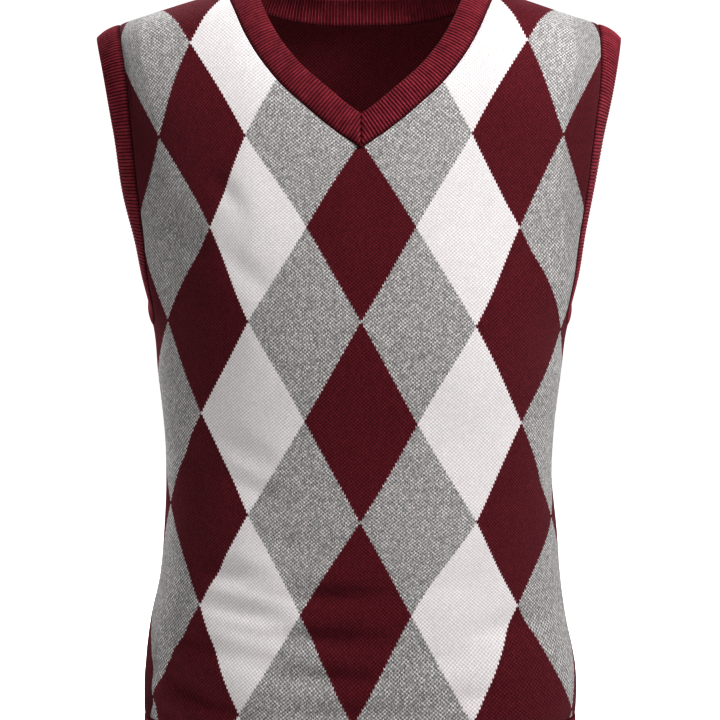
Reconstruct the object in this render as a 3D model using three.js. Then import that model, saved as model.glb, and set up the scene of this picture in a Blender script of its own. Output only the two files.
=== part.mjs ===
// A knitted sweater vest with a V neck, held in the hollow, rounded form it has when worn.
// Millimetres, +Z up. The front faces -Y and +X is the right of the front view. The origin is
// on the centre line, level with the high points of the shoulders, in the plane of the
// shoulder and side seams.
import * as THREE from 'three';

// Cloth, seams and ribs.
const SEAM_GAP = 0.3;
const PANEL_HALF_WALL = 1.0;
const RIB_PITCH = 2.9;
const RIB_RIDGE = 1.75;
const RIB_GROOVE = 0.95;
const RIB_INSIDE = 1.2;
const STATIONS_PER_RIB = 2;
const RIBS_PER_INSIDE_FACE = 3;

// Cut lengths. Heights are measured down from the high points of the shoulders.
const HEM_SEAM_HEIGHT = -620;
const HEM_HEIGHT = -680;
const UNDERARM_HEIGHT = -285;
const CREASE_TOP_HEIGHT = -470;
const NECK_BAND_WIDTH = 24;
const ARMHOLE_BAND_WIDTH = 23;

// Shoulders: how far the seam falls outside the neck point, and how broad its roll is.
const NECK_POINT = 114;
const SHOULDER_FALL = 0.26;
const SHOULDER_CURVE = 0.0006;
const SHOULDER_EASE = 15;
const SHOULDER_ROLL = 110;

// Armhole: the angle it takes off each section at the shoulder, and how round its foot is.
const ARMHOLE_ANGLE = THREE.MathUtils.degToRad(38);
const ARMHOLE_FOOT = 0.3;
const ARMHOLE_CENTRE = new THREE.Vector3(0, 0, -160);

// Grid of a panel: steps across each half and up each stretch, and how much the rows above the
// underarm crowd towards the armhole's foot.
const SHOULDER_STEPS = 4;
const CREASED_STEPS = 13;
const PLAIN_STEPS = 7;
const CHEST_STEPS = 13;
const FOOT_CROWDING = 1.3;

// Sections of the body, each a squared ellipse with its own reach on the four sides.
// Above the underarm the armholes cut the sections short of their full reach.
const SQUARENESS = 2.3;
const SECTIONS = [
  { height: -680, left: 181, right: 180, front: 97, back: 106 },
  { height: -620, left: 186, right: 184.5, front: 100, back: 110 },
  { height: -580, left: 185.5, right: 184.5, front: 101, back: 111 },
  { height: -535, left: 180, right: 176, front: 99, back: 109 },
  { height: -500, left: 172.5, right: 171, front: 97, back: 106 },
  { height: -460, left: 168.5, right: 167.5, front: 95, back: 103 },
  { height: -415, left: 166.5, right: 163.5, front: 94, back: 102 },
  { height: -370, left: 168.5, right: 165.5, front: 96, back: 105 },
  { height: -325, left: 173.5, right: 171, front: 101, back: 109 },
  { height: -285, left: 177.5, right: 176.5, front: 104, back: 112 },
  { height: -240, left: 192, right: 192, front: 104, back: 114 },
  { height: -200, left: 201.4, right: 202.5, front: 102, back: 115 },
  { height: -150, left: 213.8, right: 216.6, front: 98, back: 114 },
  { height: -100, left: 225.2, right: 229.3, front: 92, back: 109 },
  { height: -50, left: 237.2, right: 242, front: 85, back: 102 },
  { height: 0, left: 253.5, right: 249.8, front: 79, back: 95 },
];

// Neckline seam from the centre out to the neck point: half width, and height on each panel.
const NECKLINE = [
  { half: 0, front: -137, back: -22 },
  { half: 24, front: -120.5, back: -21.7 },
  { half: 46, front: -102, back: -20.4 },
  { half: 66, front: -83.5, back: -17.6 },
  { half: 84, front: -61, back: -13 },
  { half: 97, front: -39, back: -8.4 },
  { half: 106, front: -18.5, back: -4.2 },
  { half: 111.8, front: -5.5, back: -1.2 },
  { half: NECK_POINT, front: 0, back: 0 },
];

// How far the neck band stands up out of the cloth, by height on the front, and at the back.
const NECK_STAND_START = -60;
const NECK_STAND_SHOULDER = 0.35;
const NECK_STAND_BACK = 1.1;
const MITRE_START = 1;

// How much each armhole band leans outwards, from 0, straight into the hole, to 1.
const ARMHOLE_LEAN = [
  { height: -290, left: 0.15, right: 0.1 },
  { height: -229, left: 0.33, right: 0.2 },
  { height: -178, left: 0.6, right: 0.28 },
  { height: -127, left: 0.7, right: 0.4 },
  { height: -75, left: 0.83, right: 0.55 },
  { height: -29, left: 0.86, right: 0.84 },
];

// Largest creases: middle, half length, half width, depth inwards and slope along the crease.
const CREASES = {
  front: [
    { x: -20, height: -508, reach: 66, spread: 10, depth: 3.2, slope: 0.02 },
    { x: -28, height: -543, reach: 78, spread: 10, depth: 3.4, slope: -0.02 },
    { x: -30, height: -575, reach: 72, spread: 9.5, depth: 3.0, slope: -0.03 },
    { x: -128, height: -484, reach: 46, spread: 9, depth: 2.6, slope: -0.4 },
    { x: -104, height: -522, reach: 62, spread: 9, depth: 2.4, slope: -0.22 },
    { x: -136, height: -552, reach: 46, spread: 9, depth: 2.6, slope: -0.3 },
    { x: -142, height: -590, reach: 66, spread: 10, depth: 3.4, slope: -0.42 },
    { x: -14, height: -606, reach: 96, spread: 10, depth: 2.0, slope: 0.02 },
    { x: 120, height: -535, reach: 70, spread: 13, depth: 2.2, slope: 0.22 },
    { x: -150, height: -205, reach: 46, spread: 12, depth: 2.4, slope: -1.3 },
  ],
  back: [
    { x: 60, height: -478, reach: 110, spread: 11, depth: 2.8, slope: 0.06 },
    { x: -40, height: -506, reach: 120, spread: 11, depth: 3.0, slope: -0.05 },
    { x: 30, height: -537, reach: 130, spread: 12, depth: 2.8, slope: 0.04 },
    { x: -20, height: -570, reach: 110, spread: 11, depth: 2.4, slope: -0.02 },
    { x: 110, height: -592, reach: 70, spread: 11, depth: 2.4, slope: 0.3 },
    { x: -140, height: -215, reach: 55, spread: 12, depth: 2.2, slope: 1.2 },
    { x: 140, height: -215, reach: 55, spread: 12, depth: 2.2, slope: -1.2 },
  ],
};
const CREASE_FADE = THREE.MathUtils.degToRad(16);

const QUARTER_TURN = Math.PI / 2;
const ANGLE_STEP = 0.01;
const HEIGHT_STEP = 1;
const FACES = { front: -1, back: 1 };
const UP = new THREE.Vector3(0, 0, 1);

// A smooth curve through one column of a table whose rows rise in height.
function readTable(rows, column, height) {
  const last = rows.length - 1;
  let i = 0;
  while (i < last - 1 && height > rows[i + 1].height) i += 1;
  const low = rows[i];
  const high = rows[i + 1];
  const span = high.height - low.height;
  const before = rows[Math.max(i - 1, 0)];
  const after = rows[Math.min(i + 2, last)];
  const lowSlope = (high[column] - before[column]) / (high.height - before.height);
  const highSlope = (after[column] - low[column]) / (after.height - low.height);
  const t = THREE.MathUtils.clamp((height - low.height) / span, 0, 1);
  const rise = t * t * (3 - 2 * t);
  return low[column] * (1 - rise) + high[column] * rise
    + span * lowSlope * t * (1 - t) * (1 - t) - span * highSlope * t * t * (1 - t);
}

function sideReach(angle, height) {
  return readTable(SECTIONS, angle < 0 ? 'left' : 'right', height);
}

// The angle on a section at which the body is x millimetres from the centre line.
function angleAt(x, height) {
  const share = Math.min(Math.abs(x) / sideReach(x, height), 1);
  return Math.sign(x) * Math.asin(share ** (SQUARENESS / 2));
}

// How far down the sloping shoulder seam draws a point of the panel.
function shoulderDrop(x, height) {
  const past = Math.abs(x) - NECK_POINT;
  const outside = (past + Math.hypot(past, SHOULDER_EASE)) / 2;
  const share = Math.max(1 - height / UNDERARM_HEIGHT, 0);
  return share * (SHOULDER_FALL * outside + SHOULDER_CURVE * outside * outside);
}

// A point of the smooth body: angle runs from -90 degrees at the left to 90 at the right.
function smoothPoint(side, angle, height) {
  const across = Math.abs(Math.sin(angle)) ** (2 / SQUARENESS);
  const x = Math.sign(angle) * sideReach(angle, height) * across;
  const near = Math.min(-height / SHOULDER_ROLL, 1);
  const roll = Math.sqrt(Math.max(near * (2 - near), 0));
  const deep = Math.max(Math.cos(angle), 0) ** (2 / SQUARENESS);
  const y = FACES[side] * readTable(SECTIONS, side, height) * roll * deep;
  return new THREE.Vector3(x, y, height - shoulderDrop(x, height));
}

function smoothNormal(side, angle, height) {
  const right = smoothPoint(side, Math.min(angle + ANGLE_STEP, QUARTER_TURN), height);
  const left = smoothPoint(side, Math.max(angle - ANGLE_STEP, -QUARTER_TURN), height);
  const above = smoothPoint(side, angle, Math.min(height + HEIGHT_STEP, 0));
  const below = smoothPoint(side, angle, height - HEIGHT_STEP);
  return right.sub(left).cross(above.sub(below)).multiplyScalar(-FACES[side]).normalize();
}

// How deep the creases of a panel are at a point, fading to nothing at the side seams.
function creaseDepth(side, angle, point) {
  let depth = 0;
  for (const crease of CREASES[side]) {
    const scale = Math.hypot(1, crease.slope);
    const dx = point.x - crease.x;
    const dz = point.z - crease.height;
    const along = (dx + dz * crease.slope) / scale / crease.reach;
    const across = (dz - dx * crease.slope) / scale / crease.spread;
    if (Math.abs(along) < 1) {
      depth += crease.depth * Math.exp(-across * across) * Math.cos(along * QUARTER_TURN) ** 2;
    }
  }
  const fade = Math.min((QUARTER_TURN - Math.abs(angle)) / CREASE_FADE, 1);
  return depth * fade;
}

// A point of the cloth's middle layer with its outward direction, creases included.
function clothPoint(side, angle, height) {
  const normal = smoothNormal(side, angle, height);
  const point = smoothPoint(side, angle, height);
  point.addScaledVector(normal, -creaseDepth(side, angle, point));
  if (Math.abs(point.y) < SEAM_GAP / 2) {
    point.y = FACES[side] * SEAM_GAP / 2;
    normal.setY(0).normalize();
  }
  return { point, normal };
}

function armholeAngle(height) {
  const climb = THREE.MathUtils.clamp(1 - height / UNDERARM_HEIGHT, 0, 1);
  return QUARTER_TURN - ARMHOLE_ANGLE * climb ** ARMHOLE_FOOT;
}

// Columns of a panel run from the hem to the neckline or the shoulder seam.
const NECK_STEPS = NECKLINE.length - 1;
const COLUMNS = NECK_STEPS + SHOULDER_STEPS;

// The angle of a column: evenly spread below, drawn to its place on the top edge above.
function columnAngle(column, height, climb) {
  const count = Math.abs(column);
  const outer = armholeAngle(height);
  const even = outer * count / COLUMNS;
  const sign = Math.sign(column);
  let top = angleAt(sign * NECKLINE[Math.min(count, NECK_STEPS)].half, height);
  if (count > NECK_STEPS) {
    const share = (count - NECK_STEPS) / SHOULDER_STEPS;
    top = sign * THREE.MathUtils.lerp(Math.abs(top), outer, share);
  }
  return THREE.MathUtils.lerp(sign * even, top, climb);
}

function topHeight(side, column) {
  const count = Math.abs(column);
  return count < NECK_STEPS ? NECKLINE[count][side] : 0;
}

// Rows of a panel from the hem seam up, each a list of cloth points from left to right.
function panelRows(side) {
  const rows = [];
  const bottom = HEM_SEAM_HEIGHT + SEAM_GAP / 2;
  const levels = [];
  for (let i = 0; i < CREASED_STEPS; i += 1) {
    levels.push(THREE.MathUtils.lerp(bottom, CREASE_TOP_HEIGHT, i / CREASED_STEPS));
  }
  for (let i = 0; i < PLAIN_STEPS; i += 1) {
    levels.push(THREE.MathUtils.lerp(CREASE_TOP_HEIGHT, UNDERARM_HEIGHT, i / PLAIN_STEPS));
  }
  for (const height of levels) rows.push(rowAt(side, () => height, 0));
  for (let i = 0; i <= CHEST_STEPS; i += 1) {
    const climb = ((1 - Math.cos(Math.PI * i / CHEST_STEPS)) / 2) ** FOOT_CROWDING;
    const heightOf = (column) => (
      THREE.MathUtils.lerp(UNDERARM_HEIGHT, topHeight(side, column), climb)
    );
    rows.push(rowAt(side, heightOf, climb));
  }
  return rows;
}

function rowAt(side, heightOf, climb) {
  const row = [];
  for (let column = -COLUMNS; column <= COLUMNS; column += 1) {
    const height = heightOf(column);
    row.push(clothPoint(side, columnAngle(column, height, climb), height));
  }
  return row;
}

// Collects the corners and faces of one closed wall.
class Wall {
  constructor() {
    this.corners = [];
    this.index = [];
  }

  add({ point, normal }, offset) {
    const corner = point.clone().addScaledVector(normal, offset);
    this.corners.push(corner.x, corner.y, corner.z);
    return this.corners.length / 3 - 1;
  }

  triangle(a, b, c) {
    this.index.push(a, b, c);
  }

  // A four-cornered face, cut along its shorter diagonal.
  quad(a, b, c, d) {
    if (this.distance(a, c) <= this.distance(b, d)) {
      this.triangle(a, b, c);
      this.triangle(a, c, d);
    } else {
      this.triangle(a, b, d);
      this.triangle(b, c, d);
    }
  }

  distance(a, b) {
    const [p, q] = [a, b].map((corner) => this.corners.slice(3 * corner, 3 * corner + 3));
    return Math.hypot(p[0] - q[0], p[1] - q[1], p[2] - q[2]);
  }

  geometry() {
    const geometry = new THREE.BufferGeometry();
    geometry.setAttribute('position', new THREE.Float32BufferAttribute(this.corners, 3));
    geometry.setIndex(this.index);
    geometry.computeVertexNormals();
    return geometry;
  }
}

// A plain knitted panel: the rows thickened both ways, with a rim all round.
function panelGeometry(rows, side) {
  const wall = new Wall();
  const grid = side === 'front' ? rows : rows.map((row) => [...row].reverse());
  const outer = grid.map((row) => row.map((cloth) => wall.add(cloth, PANEL_HALF_WALL)));
  const inner = grid.map((row) => row.map((cloth) => wall.add(cloth, -PANEL_HALF_WALL)));
  const top = grid.length - 1;
  const end = grid[0].length - 1;
  for (let i = 0; i < top; i += 1) {
    for (let j = 0; j < end; j += 1) {
      wall.quad(outer[i][j], outer[i][j + 1], outer[i + 1][j + 1], outer[i + 1][j]);
      wall.quad(inner[i][j], inner[i + 1][j], inner[i + 1][j + 1], inner[i][j + 1]);
    }
    wall.quad(inner[i][0], outer[i][0], outer[i + 1][0], inner[i + 1][0]);
    wall.quad(outer[i][end], inner[i][end], inner[i + 1][end], outer[i + 1][end]);
  }
  for (let j = 0; j < end; j += 1) {
    wall.quad(inner[0][j], inner[0][j + 1], outer[0][j + 1], outer[0][j]);
    wall.quad(outer[top][j], outer[top][j + 1], inner[top][j + 1], inner[top][j]);
  }
  return wall.geometry();
}

// Adds the way the line runs to each of its points.
function withTangents(line, closed) {
  const count = line.length;
  return line.map((cloth, i) => {
    const ahead = closed ? line[(i + 1) % count] : line[Math.min(i + 1, count - 1)];
    const behind = closed ? line[(i + count - 1) % count] : line[Math.max(i - 1, 0)];
    const tangent = ahead.point.clone().sub(behind.point).normalize();
    return { ...cloth, tangent };
  });
}

// Points at equal distances along a line of cloth, from one distance to another.
function evenStations(line, closed, count, from, to) {
  const points = withTangents(line, closed);
  if (closed) points.push(points[0]);
  const distance = [0];
  for (let i = 1; i < points.length; i += 1) {
    distance.push(distance[i - 1] + points[i].point.distanceTo(points[i - 1].point));
  }
  const stations = [];
  let i = 0;
  for (let k = 0; k <= count; k += 1) {
    const goal = THREE.MathUtils.lerp(from, to, k / count);
    while (i < points.length - 2 && distance[i + 1] < goal) i += 1;
    const share = (goal - distance[i]) / (distance[i + 1] - distance[i]);
    const blend = (key) => points[i][key].clone().lerp(points[i + 1][key], share);
    stations.push({
      point: blend('point'),
      normal: blend('normal').normalize(),
      tangent: blend('tangent').normalize(),
    });
  }
  return stations;
}

function lineLength(line, closed) {
  let length = 0;
  const count = closed ? line.length : line.length - 1;
  for (let i = 0; i < count; i += 1) {
    length += line[i].point.distanceTo(line[(i + 1) % line.length].point);
  }
  return length;
}

// The number of stations along a rib band, a whole number of plain faces on its inside.
function stationCount(length) {
  const perFace = STATIONS_PER_RIB * RIBS_PER_INSIDE_FACE;
  return perFace * Math.round(length / RIB_PITCH / RIBS_PER_INSIDE_FACE);
}

// A ribbed strip from the seam to its free edge, ridged outside and plain inside.
function ribbedGeometry(seam, edge, closed) {
  const wall = new Wall();
  const perFace = STATIONS_PER_RIB * RIBS_PER_INSIDE_FACE;
  const count = closed ? seam.length - 1 : seam.length;
  const height = (k) => (k % STATIONS_PER_RIB ? RIB_RIDGE : RIB_GROOVE);
  const outer = { seam: [], edge: [] };
  const inner = { seam: [], edge: [] };
  for (let k = 0; k < count; k += 1) {
    outer.seam.push(wall.add(seam[k], height(k)));
    outer.edge.push(wall.add(edge[k], height(k)));
    if (k % perFace === 0) {
      inner.seam.push(wall.add(seam[k], -RIB_INSIDE));
      inner.edge.push(wall.add(edge[k], -RIB_INSIDE));
    }
  }
  if (closed) {
    for (const side of [outer, inner]) {
      side.seam.push(side.seam[0]);
      side.edge.push(side.edge[0]);
    }
  }
  for (let k = 0; k < outer.seam.length - 1; k += 1) {
    wall.quad(outer.seam[k], outer.seam[k + 1], outer.edge[k + 1], outer.edge[k]);
  }
  for (let m = 0; m < inner.seam.length - 1; m += 1) {
    wall.quad(inner.seam[m], inner.edge[m], inner.edge[m + 1], inner.seam[m + 1]);
    ribRim(wall, outer.seam, inner.seam, m, perFace, false);
    ribRim(wall, outer.edge, inner.edge, m, perFace, true);
  }
  if (!closed) {
    const k = outer.seam.length - 1;
    const m = inner.seam.length - 1;
    wall.quad(outer.seam[0], outer.edge[0], inner.edge[0], inner.seam[0]);
    wall.quad(outer.seam[k], inner.seam[m], inner.edge[m], outer.edge[k]);
  }
  return wall.geometry();
}

// Closes one plain inside face against the ridges above it, along a rim.
function ribRim(wall, outer, inner, m, perFace, turned) {
  const middle = m * perFace + perFace / 2;
  const face = (a, b, c) => (turned ? wall.triangle(a, c, b) : wall.triangle(a, b, c));
  for (let k = m * perFace; k < (m + 1) * perFace; k += 1) {
    face(k < middle ? inner[m] : inner[m + 1], outer[k + 1], outer[k]);
  }
  face(inner[m], inner[m + 1], outer[middle]);
}

// Where a band starts: just clear of the panel, square to the seam.
function bandStart(station) {
  const inPanel = station.normal.clone().cross(station.tangent).normalize();
  const point = station.point.clone().addScaledVector(inPanel, SEAM_GAP);
  return { point, normal: station.normal, inPanel };
}

// The free edge of a band, across from its start, facing square to the band.
function bandEdge(station, across, width) {
  const point = station.point.clone().addScaledVector(across, width);
  const normal = station.tangent.clone().cross(across).normalize();
  return { point, normal };
}

const frontRows = panelRows('front');
const backRows = panelRows('back');
const frontTop = frontRows[frontRows.length - 1];
const backTop = backRows[backRows.length - 1];

// Two cloth points that face each other over a seam, as one point on the seam itself.
function onSeam(a, b) {
  return {
    point: a.point.clone().lerp(b.point, 0.5),
    normal: a.normal.clone().add(b.normal).normalize(),
  };
}

// The neck band runs from the point of the V up the right, round the back and down the left.
function neckBandGeometry() {
  const mid = COLUMNS;
  const rightPoint = mid + NECK_STEPS;
  const leftPoint = mid - NECK_STEPS;
  const line = [
    ...frontTop.slice(mid, rightPoint),
    onSeam(frontTop[rightPoint], backTop[rightPoint]),
    ...backTop.slice(leftPoint + 1, rightPoint).reverse(),
    onSeam(frontTop[leftPoint], backTop[leftPoint]),
    ...frontTop.slice(leftPoint + 1, mid + 1),
  ];
  const length = lineLength(line, false);
  const count = stationCount(length);
  const stations = evenStations(line, false, count, MITRE_START, length - MITRE_START);
  const seam = stations.map(bandStart);
  const edge = stations.map((station, k) => {
    const across = seam[k].inPanel.clone().addScaledVector(UP, neckStand(station)).normalize();
    const side = k < count / 2 ? 1 : -1;
    const toMitre = (SEAM_GAP / 2 - side * station.point.x) / (side * across.x);
    const cut = side * across.x < 0 ? toMitre : NECK_BAND_WIDTH;
    const onFront = station.point.y < 0;
    const width = onFront ? Math.min(cut, NECK_BAND_WIDTH) : NECK_BAND_WIDTH;
    return bandEdge(station, across, width);
  });
  return ribbedGeometry(seam, edge, false);
}

function neckStand({ point }) {
  if (point.y < 0) {
    return NECK_STAND_SHOULDER * THREE.MathUtils.smoothstep(point.z, NECK_STAND_START, 0);
  }
  const share = 1 - Math.abs(point.x) / NECK_POINT;
  return THREE.MathUtils.lerp(NECK_STAND_SHOULDER, NECK_STAND_BACK, share);
}

// An armhole band is one closed ring, sewn round the edge of both panels.
function armholeBandGeometry(side) {
  const column = side === 'left' ? 0 : 2 * COLUMNS;
  const base = CREASED_STEPS + PLAIN_STEPS;
  const top = base + CHEST_STEPS;
  const up = frontRows.slice(base + 1, top).map((row) => row[column]);
  const down = backRows.slice(base + 1, top).map((row) => row[column]).reverse();
  const line = [
    onSeam(frontRows[base][column], backRows[base][column]),
    ...up,
    onSeam(frontRows[top][column], backRows[top][column]),
    ...down,
  ];
  if (side === 'right') line.reverse();
  const length = lineLength(line, true);
  const stations = evenStations(line, true, stationCount(length), 0, length);
  const outwards = side === 'left' ? -1 : 1;
  const seam = stations.map(bandStart);
  const edge = stations.map((station) => {
    const lean = readTable(ARMHOLE_LEAN, side, station.point.z);
    const inwards = new THREE.Vector3(0, -station.tangent.z, station.tangent.y).normalize();
    const toCentre = ARMHOLE_CENTRE.clone().sub(station.point);
    if (inwards.dot(toCentre) < 0) inwards.negate();
    const across = inwards.multiplyScalar(Math.sqrt(1 - lean * lean));
    across.x = outwards * lean;
    return bandEdge(station, across, ARMHOLE_BAND_WIDTH);
  });
  return ribbedGeometry(seam, edge, true);
}

// A hem rib hangs from a panel's lowest row and follows the body down to the hem.
function hemRibGeometry(rows, side) {
  const seamLine = rows[0];
  const hemLine = rowAt(side, () => HEM_HEIGHT, 0);
  if (side === 'front') {
    seamLine.reverse();
    hemLine.reverse();
  }
  const count = stationCount(lineLength(seamLine, false));
  const seam = evenStations(seamLine, false, count, 0, lineLength(seamLine, false));
  const edge = evenStations(hemLine, false, count, 0, lineLength(hemLine, false));
  for (const station of seam) station.point.z = HEM_SEAM_HEIGHT - SEAM_GAP / 2;
  return ribbedGeometry(seam, edge, false);
}

const BURGUNDY = new THREE.MeshStandardMaterial({ color: 0x6a1422, roughness: 0.9, metalness: 0 });
const HEATHER_GREY = new THREE.MeshStandardMaterial({ color: 0x9a989a, roughness: 0.9, metalness: 0 });

const group = new THREE.Group();

function addPiece(name, geometry, material) {
  const mesh = new THREE.Mesh(geometry, material.clone());
  mesh.name = name;
  group.add(mesh);
}

addPiece('front', panelGeometry(frontRows, 'front'), HEATHER_GREY);
addPiece('back', panelGeometry(backRows, 'back'), BURGUNDY);
addPiece('neck_band', neckBandGeometry(), BURGUNDY);
addPiece('armhole_band_left', armholeBandGeometry('left'), BURGUNDY);
addPiece('armhole_band_right', armholeBandGeometry('right'), BURGUNDY);
addPiece('hem_rib_front', hemRibGeometry(frontRows, 'front'), BURGUNDY);
addPiece('hem_rib_back', hemRibGeometry(backRows, 'back'), BURGUNDY);

export default group;
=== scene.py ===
import math

import bmesh
import bpy
import numpy as np
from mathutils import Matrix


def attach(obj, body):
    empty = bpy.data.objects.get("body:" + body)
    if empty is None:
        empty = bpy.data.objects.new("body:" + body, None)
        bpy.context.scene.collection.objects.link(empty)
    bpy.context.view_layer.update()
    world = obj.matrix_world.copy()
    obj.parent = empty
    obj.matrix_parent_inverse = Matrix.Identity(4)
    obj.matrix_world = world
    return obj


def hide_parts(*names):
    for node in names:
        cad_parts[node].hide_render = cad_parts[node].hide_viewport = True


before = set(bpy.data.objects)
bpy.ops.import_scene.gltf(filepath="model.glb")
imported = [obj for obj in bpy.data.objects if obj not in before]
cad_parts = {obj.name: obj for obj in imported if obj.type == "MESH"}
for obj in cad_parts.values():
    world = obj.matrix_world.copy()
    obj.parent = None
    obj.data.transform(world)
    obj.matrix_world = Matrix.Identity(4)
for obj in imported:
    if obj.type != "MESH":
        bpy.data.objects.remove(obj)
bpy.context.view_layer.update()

# Front panel. Fine stocking stitch in soft wool, with the diamonds knitted in, cut to a deep V and two
# armholes. Its middle layer is worked out in millimetres from sections of the body, creased, and then
# given a wall with rounded edges.
MM = 0.001
QUARTER_TURN = math.pi / 2
FACES = {"front": -1, "back": 1}


def table(columns, *rows):
    """A short table, kept as one array for each named column."""
    return dict(zip(columns.split(), np.array(rows, float).T))


def read(rows, key, column, at):
    """A smooth curve through one column of a table, read along its key column."""
    keys, values = rows[key], rows[column]
    last = len(keys) - 1
    low = np.searchsorted(keys[1:-1], at)
    high = low + 1
    before = np.maximum(low - 1, 0)
    after = np.minimum(low + 2, last)
    span = keys[high] - keys[low]
    low_slope = (values[high] - values[before]) / (keys[high] - keys[before])
    high_slope = (values[after] - values[low]) / (keys[after] - keys[low])
    t = np.clip((at - keys[low]) / span, 0, 1)
    rise = t * t * (3 - 2 * t)
    curve = span * low_slope * t * (1 - t) ** 2 - span * high_slope * t * t * (1 - t)
    return values[low] * (1 - rise) + values[high] * rise + curve


def mix(a, b, share):
    """Part of the way from a to b."""
    return a * (1 - share) + b * share


def unit(vectors):
    """The same directions, each one long."""
    return vectors / np.linalg.norm(vectors, axis=-1, keepdims=True)


# Sections of the body from the hem up, each a squared ellipse with its own reach on four sides.
SQUARENESS = 2.3
BODY = table(
    "height left right front back",
    (-680, 181, 180, 97, 106),
    (-620, 186, 184.5, 100, 110),
    (-580, 185.5, 184.5, 101, 111),
    (-535, 180, 176, 99, 109),
    (-500, 172.5, 171, 97, 106),
    (-460, 168.5, 167.5, 95, 103),
    (-415, 166.5, 163.5, 94, 102),
    (-370, 168.5, 165.5, 96, 105),
    (-325, 173.5, 171, 101, 109),
    (-285, 177.5, 176.5, 104, 112),
    (-240, 192, 192, 104, 114),
    (-200, 201.4, 202.5, 102, 115),
    (-150, 213.8, 216.6, 98, 114),
    (-100, 225.2, 229.3, 92, 109),
    (-50, 237.2, 242, 85, 102),
    (0, 253.5, 249.8, 79, 95),
)
HEM_HEIGHT = -680
HEM_SEAM_HEIGHT = -620
UNDERARM_HEIGHT = -285
SMALL_TURN = 0.01
SMALL_CLIMB = 1

# Shoulders: how far each seam falls outside the neck point, and how broad its roll is.
NECK_POINT = 114
SHOULDER_FALL = 0.26
SHOULDER_CURVE = 0.0006
SHOULDER_EASE = 15
SHOULDER_ROLL = 110


def side_reach(angle, height):
    """How far the body reaches to the left or the right at a height."""
    left, right = (read(BODY, "height", side, height) for side in ("left", "right"))
    return np.where(angle < 0, left, right)


def angle_at(x, height):
    """The angle on a section at which the body is x millimetres from the centre line."""
    share = np.minimum(np.abs(x) / side_reach(x, height), 1)
    return np.sign(x) * np.arcsin(share ** (SQUARENESS / 2))


def shoulder_drop(x, height):
    """How far the shoulder's slope lowers a place, fading to nothing down at the underarm."""
    past = np.abs(x) - NECK_POINT
    outside = (past + np.hypot(past, SHOULDER_EASE)) / 2
    share = np.maximum(1 - height / UNDERARM_HEIGHT, 0)
    return share * (SHOULDER_FALL * outside + SHOULDER_CURVE * outside**2)


def body_place(side, angle, height):
    """A place on the smooth body: the angle runs from -90 degrees at the left to 90 at the right."""
    across = np.abs(np.sin(angle)) ** (2 / SQUARENESS)
    x = np.sign(angle) * side_reach(angle, height) * across
    near = np.minimum(-height / SHOULDER_ROLL, 1)
    roll = np.sqrt(np.maximum(near * (2 - near), 0))
    deep = np.maximum(np.cos(angle), 0) ** (2 / SQUARENESS)
    y = FACES[side] * read(BODY, "height", side, height) * roll * deep
    return np.stack((x, y, height - shoulder_drop(x, height)), axis=-1)


def body_outward(side, angle, height):
    """The direction out of the body at a place, from its neighbours on all four sides."""
    right = body_place(side, np.minimum(angle + SMALL_TURN, QUARTER_TURN), height)
    left = body_place(side, np.maximum(angle - SMALL_TURN, -QUARTER_TURN), height)
    above = body_place(side, angle, np.minimum(height + SMALL_CLIMB, 0))
    below = body_place(side, angle, height - SMALL_CLIMB)
    return unit(np.cross(right - left, above - below) * -FACES[side])


# Creases: middle, half length, half width, depth inwards (a ridge is below 0) and slope along the
# crease. The deep ones cross the waist and the left hip, and the fine ones lie between them and run in
# from the armholes.
CREASES = {
    "front": table(
        "x height reach spread depth slope",
        (-20, -508, 66, 9.2, 5.6, 0.02),
        (-28, -543, 78, 9.2, 6.0, -0.02),
        (-30, -575, 72, 8.7, 5.2, -0.03),
        (-110, -490, 48, 9.5, 3.9, -0.14),
        (-98, -521, 62, 9.5, 4.3, -0.15),
        (-140, -548, 42, 9, 3.2, -0.34),
        (-90, -560, 52, 10, 2.7, -0.14),
        (-142, -590, 66, 9.2, 6.0, -0.42),
        (-14, -606, 96, 9.2, 3.5, 0.02),
        (120, -535, 70, 12, 3.9, 0.22),
        (-150, -205, 46, 11, 4.3, -1.30),
        (-84, -504, 40, 4.5, 0.9, -0.18),
        (-104, -537, 42, 4.5, 1.0, -0.20),
        (-160, -566, 30, 5.5, 2.4, -0.50),
        (-165, -612, 34, 6.4, 2.8, -0.48),
        (-48, -466, 66, 11, 2.1, -0.10),
        (62, -498, 70, 12, 2.0, 0.08),
        (66, -560, 60, 10.1, 2.4, 0.06),
        (92, -592, 56, 9.2, 2.3, 0.14),
        (-112, -172, 40, 8.3, 2.0, -1.15),
        (-96, -238, 46, 11, 2.0, -0.90),
        (150, -214, 44, 11, 2.7, 1.25),
        (122, -178, 38, 9.2, 1.3, 1.05),
        (148, -420, 44, 11, 1.4, 0.50),
        (-146, -392, 50, 11, 2.1, -0.60),
        (-98, -386, 48, 11, 2.4, -0.65),
        (-88, -420, 50, 10, 2.0, -0.50),
    ),
    "back": table(
        "x height reach spread depth slope",
        (60, -478, 110, 10.1, 5.0, 0.06),
        (-40, -506, 120, 10.1, 5.2, -0.05),
        (30, -537, 130, 11, 5.0, 0.04),
        (-20, -570, 110, 10.1, 4.3, -0.02),
        (110, -592, 70, 10.1, 4.3, 0.30),
        (-140, -215, 55, 11, 3.9, 1.20),
        (140, -215, 55, 11, 3.9, -1.20),
        (-78, -490, 42, 4.6, 1.3, 0.16),
        (84, -522, 46, 4.6, 1.2, -0.20),
        (16, -553, 52, 4.6, 1.0, 0.10),
        (-126, -556, 48, 8.3, 3.9, 0.34),
        (-110, -602, 50, 7.4, 2.7, -0.28),
        (8, -438, 84, 12.9, 2.0, 0.04),
        (-66, -150, 60, 12.9, 2.1, 0.55),
        (64, -142, 58, 12.9, 2.1, -0.50),
        (-20, -300, 70, 14.7, 1.2, 0.12),
    ),
}
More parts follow.
